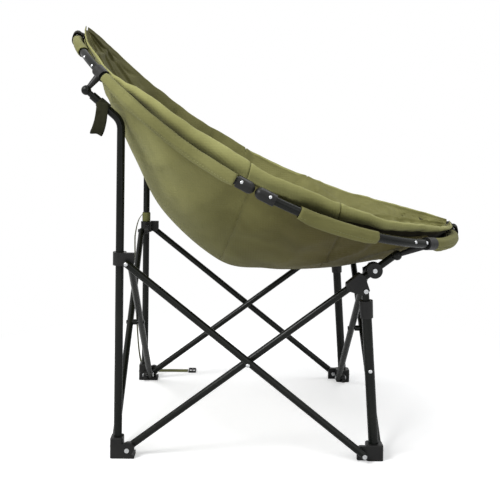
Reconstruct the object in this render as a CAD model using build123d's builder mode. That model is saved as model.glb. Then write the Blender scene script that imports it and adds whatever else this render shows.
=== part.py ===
from build123d import *
import math
import os

os.makedirs("parts", exist_ok=True)

# Folding saucer chair, open. Millimetres; +Z up, the sitter faces -Y, so the sitter's right is -X.

# ---- driving sizes ----
SHIFT_Y = 0.0            # moves the whole chair so that its box is centred on the origin
FOOT_X = 270.0           # plane of the rear post, front leg and long side brace, from the middle
REAR_Y = 325.0 + SHIFT_Y     # rear post axis
FRONT_Y = -239.0 + SHIFT_Y   # front leg axis where it enters the foot
POST_R = 9.0             # rear post tube
LEG_R, LEG_BORE_R, LEG_INNER_R = 11.0, 9.6, 8.0
BRACE_R = 8.0
RING_R = 9.5
SLEEVE_IN, SLEEVE_OUT = 9.8, 12.6
PIN_R = 3.0
RUN = 0.05               # radial running clearance of a pin or a slide
GAP = 0.3                # air between neighbouring bodies
WEB = 9.4                # thickness of the pivot webs on feet, sliders and clips
WEB_X = FOOT_X + BRACE_R + GAP + WEB / 2     # web between the long and the short side brace
OUT_X = WEB_X + WEB / 2 + GAP + BRACE_R      # plane of the short side braces
BRACE_X = 246.0          # lower pivots of the rear and front cross braces
TOP_X = 233.0            # upper pivots of the rear and front cross braces
POST_BEND = 737.0        # height where the post bends to the rear
BEND_TO_BALL = 67.0      # rise of the ball above the bend
BALL_R = 11.0
CUP_R = 11.3             # hollow of the ring brackets that sits over a ball
NECK_R = 6.5
SPACER_R = 6.8           # spacers and heads at the brace crossings
REAR_BALL = Vector(277.2, 401.4 + SHIFT_Y, POST_BEND + BEND_TO_BALL)
FRONT_BALL = Vector(281.4, -283.5 + SHIFT_Y, 449.3)
LONG_PIVOT = (303.0 + SHIFT_Y, 18.0)      # rear foot pivot of the long side brace (y, z)
SHORT_PIVOT = (-214.0 + SHIFT_Y, 16.0)    # front foot pivot of the short side brace
SLIDER_PIVOT = (307.0 + SHIFT_Y, 427.0)
LEG_DROP = 31.4          # rivet of the inner leg's top below the long brace's axis
CLIP_Y = -236.0 + SHIFT_Y
REAR_WEB_Y = REAR_Y - 4.0    # plane of the webs that carry the rear cross braces
WEB_AIR = 0.6                # between a cross brace and the web beside it
EAR_RELIEF = 2.9             # taken off the front of the clips' ears
HEAD_OUT = 0.4               # how deep a rivet head's disc starts inside a brace

AWAY = BRACE_R + WEB / 2 + WEB_AIR
REAR_PLANES = {"right": REAR_WEB_Y + AWAY, "left": REAR_WEB_Y - AWAY}
FRONT_PLANES = {"right": FRONT_Y - AWAY, "left": FRONT_Y + AWAY}
SIDES = (("right", -1.0), ("left", 1.0))

# the ring rests on both balls: its tilt and its middle height follow from theirs
REAR_ARM, FRONT_ARM = 37.55, 138.9           # ring angles of the brackets
REAR_ARM_RISE, FRONT_ARM_RISE = 37.56, 27.61     # ring above the ball there


def ring_wave(t):
    """Height of the ring's saddle above its tilted plane."""
    a = math.radians(t)
    return 57.6 * math.cos(2 * a) + 3.0 * math.cos(3 * a)


rear_height = REAR_BALL.Z + REAR_ARM_RISE - ring_wave(REAR_ARM)
front_height = FRONT_BALL.Z + FRONT_ARM_RISE - ring_wave(FRONT_ARM)
rear_cos, front_cos = math.cos(math.radians(REAR_ARM)), math.cos(math.radians(FRONT_ARM))
RING_TILT = (rear_height - front_height) / (rear_cos - front_cos)
RING_MID = rear_height - RING_TILT * rear_cos


def ring(t, s):
    """Centreline of the ring, t degrees from the rear centre, s = -1 right, 1 left."""
    a = math.radians(t)
    z = RING_MID + RING_TILT * math.cos(a) + ring_wave(t)
    return Vector(s * 443.0 * math.sin(a), 467.0 * math.cos(a) + SHIFT_Y, z)


def ring_dir(t, s):
    """Direction of the ring's centreline as t grows."""
    return (ring(t + 0.05, s) - ring(t - 0.05, s)).normalized()


def ring_steps(t0, t1, step=17.0):
    n = max(1, round((t1 - t0) / step))
    return [t0 + (t1 - t0) * k / n for k in range(n + 1)]


def long_z(y):
    """Height of the long brace's axis at y."""
    (y0, z0), (y1, z1) = LONG_PIVOT, (FRONT_BALL.Y, FRONT_BALL.Z)
    return z0 + (y - y0) * (z1 - z0) / (y1 - y0)


LEG_TOP = (-217.0 + SHIFT_Y, long_z(-217.0 + SHIFT_Y) - LEG_DROP)    # rivet that joins the inner leg to the long brace
clip_z = long_z(CLIP_Y)
REAR_TOP_Z = SLIDER_PIVOT[1]     # upper pivots of the rear and of the front cross braces
FRONT_TOP_Z = clip_z - 4.4


def at(x, y, z, direction):
    return Plane(origin=(x, y, z), z_dir=direction)


ALONG_X = (1, 0, 0)
ALONG_Y = (0, 1, 0)


def rod(start, end, radius, seam):
    """Round bar with domed ends, turned in the open part; seam is a direction clear of its holes."""
    way = (Vector(end) - Vector(start)).normalized()
    length = (Vector(end) - Vector(start)).length
    across = (Vector(seam) - way * Vector(seam).dot(way)).normalized()
    k = radius * math.sqrt(0.5)
    with BuildSketch(Plane(origin=start, x_dir=way, z_dir=way.cross(across))) as profile:
        with BuildLine():
            Line((-radius, 0), (length + radius, 0))
            ThreePointArc((length + radius, 0), (length + k, k), (length, radius))
            Line((length, radius), (0, radius))
            ThreePointArc((0, radius), (-k, k), (-radius, 0))
        make_face()
    revolve(profile.sketch, axis=Axis(start, way))


# ================= rear posts, feet and pivots =================
for side, s in SIDES:
    px = s * FOOT_X
    rear_ball = Vector(s * REAR_BALL.X, REAR_BALL.Y, REAR_BALL.Z)
    post_top = (rear_ball - Vector(px, REAR_Y, POST_BEND)).normalized()
    post_end = rear_ball - post_top * 17.0
    with BuildPart() as rear_post:
        with BuildLine() as post_path:
            FilletPolyline(
                (px, REAR_Y, 6.0), (px, REAR_Y, POST_BEND), post_end, radius=38.0,
            )
        with BuildSketch(Plane.XY.offset(6.0)):
            with Locations((px, REAR_Y)):
                Circle(POST_R)
        sweep(path=post_path.line)
        with Locations(Plane(origin=post_end, z_dir=post_top)):
            Cylinder(NECK_R, 17.0, align=(Align.CENTER, Align.CENTER, Align.MIN))
        with Locations(Location(rear_ball, (0, 0, 90.0))):
            Sphere(BALL_R)
    rear_post.part.label = f"rear_post_{side}"
    export_step(rear_post.part, f"parts/rear_post_{side}.step")

    # moulded foot: socket block, outer web for the long side brace, inner web for the rear brace
    with BuildPart() as rear_foot:
        with Locations((s * 271.35, REAR_Y + 1.0, 22.0)):
            Box(32.7, 28.0, 44.0)
        vertical = rear_foot.edges().filter_by(Axis.Z)
        fillet(vertical, radius=5.0)
        fillet(rear_foot.faces().sort_by(Axis.Z)[-1].edges(), radius=2.5)
        with Locations((s * 271.35, 300.0 + SHIFT_Y, 3.75)):
            Box(32.7, 26.0, 7.5)
        with BuildSketch(Plane(origin=(s * WEB_X, 0, 0), z_dir=(1, 0, 0), x_dir=(0, 1, 0))):
            with Locations((LONG_PIVOT[0] + 5.0, 16.0)):
                Rectangle(28.0, 32.0)
            with Locations((LONG_PIVOT[0] - 3.0, 22.0)):
                Circle(13.0)
        extrude(amount=WEB / 2, both=True)
        with BuildSketch(Plane(origin=(0, REAR_WEB_Y, 0), z_dir=(0, -1, 0), x_dir=(1, 0, 0))):
            with Locations((s * 251.0, 15.5)):
                Rectangle(12.0, 25.0)
            with Locations((s * BRACE_X, 18.0)):
                Circle(10.0)
        extrude(amount=WEB / 2, both=True)
        with Locations((s * 268.0, REAR_Y - 9.0, 43.0)):
            Cylinder(3.0, 7.0)
        # sole relieved between two pads
        with Locations((s * 271.35, 311.0 + SHIFT_Y, 0.0)):
            Box(24.0, 20.0, 3.0, mode=Mode.SUBTRACT)
        with Locations((px, REAR_Y, 6.0)):
            Cylinder(POST_R + RUN, 60.0, align=(Align.CENTER, Align.CENTER, Align.MIN), mode=Mode.SUBTRACT)
        with Locations(at(s * WEB_X, LONG_PIVOT[0], LONG_PIVOT[1], ALONG_X)):
            Cylinder(PIN_R, 30.0, mode=Mode.SUBTRACT)
        with Locations(at(s * BRACE_X, REAR_WEB_Y, 18.0, ALONG_Y)):
            Cylinder(PIN_R, 30.0, mode=Mode.SUBTRACT)
    rear_foot.part.label = f"rear_foot_{side}"
    export_step(rear_foot.part, f"parts/rear_foot_{side}.step")

    # pivot pins of the rear foot, heads on both sides
    rear_plane = REAR_PLANES[side]
    towards = 1.0 if rear_plane > REAR_WEB_Y else -1.0
    web_x = WEB_X + WEB / 2
    inner_x = FOOT_X - BRACE_R - GAP
    web_y = REAR_WEB_Y - towards * WEB / 2
    far_y = rear_plane + towards * (BRACE_R + GAP)
    with BuildPart() as rear_pins:
        with Locations(at(s * (web_x + inner_x) / 2, LONG_PIVOT[0], LONG_PIVOT[1], ALONG_X)):
            Cylinder(PIN_R, web_x - inner_x + 1.0)
        with Locations(at(s * (web_x + 1.2), LONG_PIVOT[0], LONG_PIVOT[1], ALONG_X)):
            Cylinder(5.0, 2.4)
        with Locations(at(s * (inner_x - 1.0), LONG_PIVOT[0], LONG_PIVOT[1], ALONG_X)):
            Cylinder(5.0, 2.0)
        with Locations(at(s * BRACE_X, (web_y + far_y) / 2, 18.0, ALONG_Y)):
            Cylinder(PIN_R, abs(far_y - web_y) + 1.0)
        with Locations(at(s * BRACE_X, web_y - towards * 1.0, 18.0, ALONG_Y),
                       at(s * BRACE_X, far_y + towards * 1.0, 18.0, ALONG_Y)):
            Cylinder(5.0, 2.0)
    rear_pins.part.label = f"rear_foot_pins_{side}"
    export_step(rear_pins.part, f"parts/rear_foot_pins_{side}.step")

    # slider on the post: collar, outer ear for the short brace, inner ear for the rear brace
    with BuildPart() as slider:
        with Locations((px, REAR_Y, 434.5)):
            Cylinder(15.0, 29.0)
        with BuildSketch(Plane(origin=(s * WEB_X, 0, 0), z_dir=(1, 0, 0), x_dir=(0, 1, 0))):
            with Locations((308.0 + SHIFT_Y, 434.5)):
                Rectangle(34.0, 29.0)
            fillet(vertices().sort_by(Axis.Y)[:2], radius=9.0)
        extrude(amount=WEB / 2, both=True)
        with BuildSketch(Plane(origin=(0, REAR_WEB_Y, 0), z_dir=(0, -1, 0), x_dir=(1, 0, 0))):
            with Locations((s * 246.0, 431.0)):
                Rectangle(26.0, 22.0)
            with Locations((s * TOP_X, REAR_TOP_Z + 1.0)):
                Circle(10.0)
        extrude(amount=WEB / 2, both=True)
        with Locations((px, REAR_Y, 434.5)):
            Cylinder(POST_R + RUN, 40.0, mode=Mode.SUBTRACT)
    slider.part.label = f"slider_{side}"
    export_step(slider.part, f"parts/slider_{side}.step")

# ================= front feet, telescoping legs =================
LEG_FOOT_Z = 20.0
leg_line = Vector(0, LEG_TOP[0] - FRONT_Y, LEG_TOP[1] - LEG_FOOT_Z)
LEAN, LEG_LEN = leg_line.normalized(), leg_line.length
for side, s in SIDES:
    leg_plane = Plane(origin=(s * FOOT_X, FRONT_Y, LEG_FOOT_Z), z_dir=LEAN, x_dir=(1, 0, 0))
    with BuildPart() as front_foot:
        with Locations((s * 271.35, FRONT_Y - 0.5, 17.0)):
            Box(32.7, 37.0, 34.0)
        fillet(front_foot.edges().filter_by(Axis.Z), radius=6.0)
        fillet(front_foot.faces().sort_by(Axis.Z)[-1].edges(), radius=2.5)
        with BuildSketch(Plane(origin=(s * WEB_X, 0, 0), z_dir=(1, 0, 0), x_dir=(0, 1, 0))):
            with Locations((SHORT_PIVOT[0] - 3.0, 17.0)):
                Rectangle(34.0, 30.0)
            fillet(vertices().sort_by(Axis.Y)[-2:], radius=9.0)
        extrude(amount=WEB / 2, both=True)
        with BuildSketch(Plane(origin=(0, FRONT_Y, 0), z_dir=(0, -1, 0), x_dir=(1, 0, 0))):
            with Locations((s * 251.0, 14.0)):
                Rectangle(12.0, 24.0)
            with Locations((s * BRACE_X, 16.0)):
                Circle(10.0)
        extrude(amount=WEB / 2, both=True)
        with Locations((s * 271.35, FRONT_Y + 2.0, 0.0)):
            Box(22.0, 16.0, 3.0, mode=Mode.SUBTRACT)
        with Locations(leg_plane.offset(-14.0)):
            Cylinder(LEG_R + RUN, 80.0, align=(Align.CENTER, Align.CENTER, Align.MIN), mode=Mode.SUBTRACT)
        with Locations(at(s * WEB_X, SHORT_PIVOT[0], SHORT_PIVOT[1], ALONG_X)):
            Cylinder(PIN_R, 30.0, mode=Mode.SUBTRACT)
        with Locations(at(s * BRACE_X, FRONT_Y, 16.0, ALONG_Y)):
            Cylinder(PIN_R, 30.0, mode=Mode.SUBTRACT)
    front_foot.part.label = f"front_foot_{side}"
    export_step(front_foot.part, f"parts/front_foot_{side}.step")

    front_plane = FRONT_PLANES[side]
    towards = 1.0 if front_plane > FRONT_Y else -1.0
    web_y = FRONT_Y - towards * WEB / 2
    far_y = front_plane + towards * (BRACE_R + GAP)
    web_x = WEB_X - WEB / 2
    outer_x = OUT_X + BRACE_R + GAP
    with BuildPart() as front_pins:
        with Locations(at(s * (web_x + outer_x) / 2, SHORT_PIVOT[0], SHORT_PIVOT[1], ALONG_X)):
            Cylinder(PIN_R, outer_x - web_x + 1.0)
        with Locations(at(s * (web_x - 1.0), SHORT_PIVOT[0], SHORT_PIVOT[1], ALONG_X),
                       at(s * (outer_x + 1.0), SHORT_PIVOT[0], SHORT_PIVOT[1], ALONG_X)):
            Cylinder(5.0, 2.0)
        with Locations(at(s * BRACE_X, (web_y + far_y) / 2, 16.0, ALONG_Y)):
            Cylinder(PIN_R, abs(far_y - web_y) + 1.0)
        with Locations(at(s * BRACE_X, web_y - towards * 1.0, 16.0, ALONG_Y),
                       at(s * BRACE_X, far_y + towards * 1.0, 16.0, ALONG_Y)):
            Cylinder(5.0, 2.0)
    front_pins.part.label = f"front_foot_pins_{side}"
    export_step(front_pins.part, f"parts/front_foot_pins_{side}.step")

    with BuildPart() as leg_outer:
        with BuildSketch(leg_plane.offset(-14.0)):
            Circle(LEG_R)
            Circle(LEG_BORE_R, mode=Mode.SUBTRACT)
        extrude(amount=328.0)
    leg_outer.part.label = f"front_leg_outer_{side}"
    export_step(leg_outer.part, f"parts/front_leg_outer_{side}.step")

    # guide collar: skirt over the outer tube, running bore for the inner tube
    with BuildPart() as collar:
        with BuildSketch(leg_plane.offset(290.0)):
            Circle(LEG_R + 3.0)
        with BuildSketch(leg_plane.offset(328.0)):
            Circle(LEG_R + 4.3)
        loft()
        with Locations(leg_plane.offset(280.0)):
            Cylinder(LEG_R + RUN, 34.0, align=(Align.CENTER, Align.CENTER, Align.MIN), mode=Mode.SUBTRACT)
        with Locations(leg_plane.offset(300.0)):
            Cylinder(LEG_INNER_R + RUN, 60.0, align=(Align.CENTER, Align.CENTER, Align.MIN), mode=Mode.SUBTRACT)
    collar.part.label = f"front_leg_collar_{side}"
    export_step(collar.part, f"parts/front_leg_collar_{side}.step")

    with BuildPart() as leg_inner:
        foot_in = leg_plane.origin + LEAN * 38.0
        rod(foot_in, leg_plane.origin + LEAN * LEG_LEN, LEG_INNER_R, (0, 1, 0))
    leg_inner.part.label = f"front_leg_inner_{side}"
    export_step(leg_inner.part, f"parts/front_leg_inner_{side}.step")

# ================= side braces =================
long_dir = Vector(0, FRONT_BALL.Y - LONG_PIVOT[0], FRONT_BALL.Z - LONG_PIVOT[1])
LONG_LEN = long_dir.length
long_dir = long_dir.normalized()
short_dir = Vector(0, SLIDER_PIVOT[0] - SHORT_PIVOT[0], SLIDER_PIVOT[1] - SHORT_PIVOT[1])
short_dir = short_dir.normalized()
# crossing of the two side braces
k_long = long_dir.Z / long_dir.Y
k_short = short_dir.Z / short_dir.Y
CROSS_Y = (SHORT_PIVOT[1] - LONG_PIVOT[1] + k_long * LONG_PIVOT[0] - k_short * SHORT_PIVOT[0]) / (k_long - k_short)
CROSS_Z = long_z(CROSS_Y)

for side, s in SIDES:
    px = s * FOOT_X
    with BuildPart() as long_brace:
        rod((px, *LONG_PIVOT), (px, FRONT_BALL.Y, FRONT_BALL.Z), BRACE_R, (0, 0, 1))
        with Locations(Location((s * FRONT_BALL.X, FRONT_BALL.Y, FRONT_BALL.Z), (0, 0, 90.0 - 90.0 * s))):
            Sphere(BALL_R)
        with Locations(at(px, LONG_PIVOT[0], LONG_PIVOT[1], ALONG_X)):
            Cylinder(PIN_R + RUN, 30.0, mode=Mode.SUBTRACT)
        with Locations(at(px, CLIP_Y, long_z(CLIP_Y), ALONG_X)):
            Cylinder(PIN_R, 30.0, mode=Mode.SUBTRACT)
    long_brace.part.label = f"long_side_brace_{side}"
    export_step(long_brace.part, f"parts/long_side_brace_{side}.step")

    # fork plate saddled on the long brace; its cheeks hang down beside the inner leg's top
    with BuildPart() as leg_plate:
        with BuildSketch(Plane(origin=(px, 0, 0), z_dir=(1, 0, 0), x_dir=(0, 1, 0))):
            with BuildLine():
                Polyline(
                    (-174.0 + SHIFT_Y, long_z(-174.0 + SHIFT_Y) + 16.0),
                    (-203.0 + SHIFT_Y, long_z(-203.0 + SHIFT_Y) + 18.0),
                    (-215.0 + SHIFT_Y, long_z(-215.0 + SHIFT_Y) + 3.0),
                    (LEG_TOP[0] - 8.5, LEG_TOP[1] + 2.0), (LEG_TOP[0] - 2.0, LEG_TOP[1] - 8.5),
                    (LEG_TOP[0] + 9.0, LEG_TOP[1] - 8.0),
                    (-186.0 + SHIFT_Y, long_z(-186.0 + SHIFT_Y) - 11.0),
                    (-174.0 + SHIFT_Y, long_z(-174.0 + SHIFT_Y) + 2.0), close=True)
            make_face()
            fillet(vertices(), radius=2.5)
        extrude(amount=BRACE_R + 3.3, both=True)
        slot = Plane(origin=(px, LONG_PIVOT[0], LONG_PIVOT[1]), z_dir=(1, 0, 0), x_dir=long_dir)
        with BuildSketch(slot):
            with Locations((600.0, 24.0 if slot.y_dir.Z < 0 else -24.0)):
                Rectangle(160.0, 48.0)
        extrude(amount=BRACE_R + GAP, both=True, mode=Mode.SUBTRACT)
        with Locations(at(px, LONG_PIVOT[0], LONG_PIVOT[1], long_dir)):
            Cylinder(BRACE_R, LONG_LEN, align=(Align.CENTER, Align.CENTER, Align.MIN), mode=Mode.SUBTRACT)
    leg_plate.part.label = f"leg_plate_{side}"
    export_step(leg_plate.part, f"parts/leg_plate_{side}.step")

    # rivets that ride on the long brace: leg plate heads and the clip's pin
    plate_head, clip_head = BRACE_R + 4.4, BRACE_R + 5.4
    with BuildPart() as brace_rivets:
        with Locations(at(px + plate_head, *LEG_TOP, ALONG_X), at(px - plate_head, *LEG_TOP, ALONG_X)):
            Cylinder(5.0, 2.2)
        with Locations(at(px, CLIP_Y, clip_z, ALONG_X)):
            Cylinder(PIN_R, 2 * clip_head - 0.8)
        with Locations(at(px + clip_head, CLIP_Y, clip_z, ALONG_X), at(px - clip_head, CLIP_Y, clip_z, ALONG_X)):
            Cylinder(5.0, 2.0)
    brace_rivets.part.label = f"long_brace_rivets_{side}"
    export_step(brace_rivets.part, f"parts/long_brace_rivets_{side}.step")

    # short side brace with its black spacer at the crossing and a head on the slider end
    with BuildPart() as short_brace:
        rod((s * OUT_X, *SHORT_PIVOT), (s * OUT_X, *SLIDER_PIVOT), BRACE_R, (0, 0, 1))
        with Locations(at(s * ((FOOT_X + BRACE_R + GAP + OUT_X) / 2), CROSS_Y, CROSS_Z, ALONG_X)):
            Cylinder(SPACER_R, OUT_X - FOOT_X - BRACE_R - GAP)
        head_x = OUT_X + BRACE_R - HEAD_OUT
        with Locations(at(s * head_x, CROSS_Y, CROSS_Z, ALONG_X), at(s * head_x, *SLIDER_PIVOT, ALONG_X)):
            Cylinder(4.6, 4.0)
        with Locations(at(s * OUT_X, SHORT_PIVOT[0], SHORT_PIVOT[1], ALONG_X)):
            Cylinder(PIN_R + RUN, 30.0, mode=Mode.SUBTRACT)
    short_brace.part.label = f"short_side_brace_{side}"
    export_step(short_brace.part, f"parts/short_side_brace_{side}.step")

    # clip on the long brace: two cheeks, a bridge behind the tube, an ear for the front brace
    with BuildPart() as clip:
        cheek = BRACE_R + 2.2
        with Locations(at(px + cheek, CLIP_Y, clip_z, ALONG_X), at(px - cheek, CLIP_Y, clip_z, ALONG_X)):
            Cylinder(17.0, 3.4)
        ang = math.radians(143.0)
        with Locations(Plane(origin=(px, CLIP_Y - 15.4 * math.cos(ang), clip_z + 15.4 * math.sin(ang)),
                             z_dir=(0, -math.cos(ang), math.sin(ang)), x_dir=(1, 0, 0))):
            Box(2 * cheek + 3.4, 13.0, 3.6)
        # ear for the front brace, thinner in front, where the right front brace passes it while folding
        ear_y = FRONT_Y - WEB / 2 + EAR_RELIEF
        with BuildSketch(Plane(origin=(0, ear_y, 0), z_dir=(0, -1, 0), x_dir=(1, 0, 0))):
            with Locations((s * 246.0, FRONT_TOP_Z + 3.0)):
                Rectangle(26.0, 18.0)
            with Locations((s * TOP_X, FRONT_TOP_Z + 1.0)):
                Circle(10.0)
        extrude(amount=-(WEB - EAR_RELIEF))
        with Locations(at(px, CLIP_Y, clip_z, ALONG_X)):
            Cylinder(PIN_R + RUN, 30.0, mode=Mode.SUBTRACT)
        with Locations(at(s * (FOOT_X - BRACE_R - 6.9), CLIP_Y, clip_z, ALONG_X)):
            Cylinder(5.6, 6.0, mode=Mode.SUBTRACT)
    clip.part.label = f"brace_clip_{side}"
    export_step(clip.part, f"parts/brace_clip_{side}.step")

# ================= rear and front cross braces =================
for side, s in SIDES:
    for name, planes, web_mid, low_z, top_z in (
        ("rear_brace", REAR_PLANES, REAR_WEB_Y, 18.0, REAR_TOP_Z),
        ("front_brace", FRONT_PLANES, FRONT_Y, 16.0, FRONT_TOP_Z),
    ):
        y = planes[side]
        spacer = side == "right"
        inward = -1.0 if y > web_mid else 1.0
        cross_z = low_z + (top_z - low_z) * BRACE_X / (BRACE_X + TOP_X)
        with BuildPart() as brace:
            rod((s * BRACE_X, y, low_z), (-s * TOP_X, y, top_z), BRACE_R, (0, 0, 1))
            if spacer:
                reach = 2 * abs(y - web_mid) - BRACE_R - GAP
                with Locations(at(0, y + inward * reach / 2, cross_z, ALONG_Y)):
                    Cylinder(SPACER_R, reach)
            head_y = y - inward * (BRACE_R - HEAD_OUT)
            with Locations(at(0, head_y, cross_z, ALONG_Y), at(-s * TOP_X, head_y, top_z, ALONG_Y)):
                Cylinder(4.6, 4.0)
            with Locations(at(s * BRACE_X, y, low_z, ALONG_Y)):
                Cylinder(PIN_R + RUN, 30.0, mode=Mode.SUBTRACT)
        brace.part.label = f"{name}_{side}"
        export_step(brace.part, f"parts/{name}_{side}.step")

# ================= seat: three bowl sections, each a quilted shell with a cushion =================
# t of the ring point under the rim, lift of the rim above it, and the underside on the middle plane:
# its y and its drop below the ring point
STATIONS = [
    (6.0, 36.0, 446.0, -9.88), (22.0, 40.0, 412.0, 39.88), (40.0, 43.0, 372.0, 68.17),
    (57.0, 46.0, 318.0, 101.66), (72.0, 49.0, 247.0, 154.11), (85.0, 50.0, 110.0, 211.91),
    (96.0, 49.0, 0.0, 186.32), (108.0, 46.0, -120.0, 146.9), (124.0, 42.0, -240.0, 98.11),
    (142.0, 37.0, -345.0, 54.57), (158.0, 32.0, -412.0, 24.19), (173.0, 28.0, -446.0, 2.83),
]
SPANS = {"back": (0, 5), "base": (5, 7), "pan": (7, 11)}
SHELL_T = 5.0            # quilted outer shell
CUSHION_MID = 38.0       # crown of the cushion above the underside
CUSHION_RIM = 26.0       # width of shell and cushion together at the rim
BOWL_POWER = 2.2
U_STEPS = (-1.0, -0.9, -0.72, -0.45, 0.0, 0.45, 0.72, 0.9, 1.0)


def station_plane(k, shift=0.0):
    """Plane of a station: local x across the seat, local y from the underside to the rim."""
    t, lift, y, drop = STATIONS[k]
    rim = ring(t, 1.0)
    z = rim.Z - drop
    up = Vector(0, rim.Y - (y + SHIFT_Y), rim.Z + lift - z)
    normal = Vector(1, 0, 0).cross(up).normalized()
    return Plane(origin=Vector(0, y + SHIFT_Y, z) + normal * shift, x_dir=(1, 0, 0), z_dir=normal), up.length, rim.X - 4.0


def bowl_points(half, height, side_in, floor_in):
    a, b = min(side_in, 0.42 * half), min(floor_in, 0.5 * height)
    return [(u * (half - a), b + (height - b) * abs(u) ** BOWL_POWER) for u in U_STEPS]


def crescent(k, shift, outer, inner, crown):
    """Closed crescent face of station k between two offsets (side, floor) of the bowl line."""
    plane, height, half = station_plane(k, shift)
    with BuildSketch(plane) as face:
        with BuildLine():
            low = bowl_points(half, height, *outer)
            top = bowl_points(half, height, *inner)
            Spline(*low)
            Spline(*top)
            for j in (0, -1):
                if crown:
                    ThreePointArc(low[j], ((low[j][0] + top[j][0]) / 2, low[j][1] + crown), top[j])
                else:
                    Line(low[j], top[j])
        make_face()
    return face.sketch


def seat_solid(span, outer, inner, crown):
    first, last = SPANS[span]
    with BuildPart() as solid:
        for k in range(first, last + 1):
            shift = GAP if k == first and first else (-GAP if k == last and last < 11 else 0.0)
            add(crescent(k, shift, outer, inner, crown))
        loft()
    return solid.part


for span in ("back", "base", "pan"):
    with BuildPart() as seat_shell:
        add(seat_solid(span, (0.0, 0.0), (SHELL_T, SHELL_T), 0.0))
    seat_shell.part.label = f"seat_{span}_shell"
    export_step(seat_shell.part, f"parts/seat_{span}_shell.step")
    with BuildPart() as seat_cushion:
        add(seat_solid(span, (SHELL_T + GAP, SHELL_T + GAP), (CUSHION_RIM, CUSHION_MID), 7.0))
    seat_cushion.part.label = f"seat_{span}_cushion"
    export_step(seat_cushion.part, f"parts/seat_{span}_cushion.step")

# ================= ring quarters =================
KNUCKLE_OUT = 13.0
TAB_LONG, TAB_THICK = 34.0, 3.0
# outer skins of the seat, a little larger, that the tabs are trimmed to
TAB_AIR = 0.7
envelopes = [seat_solid(span, (-TAB_AIR, -TAB_AIR), (30.0, 30.0), 0.0) for span in ("back", "base", "pan")]


def lift_at(t):
    """Lift of the seat's rim above the ring at t."""
    for (t0, lift0, *_), (t1, lift1, *_) in zip(STATIONS, STATIONS[1:]):
        if t <= t1:
            return lift0 + (lift1 - lift0) * (t - t0) / (t1 - t0)
    return STATIONS[-1][1]


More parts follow.
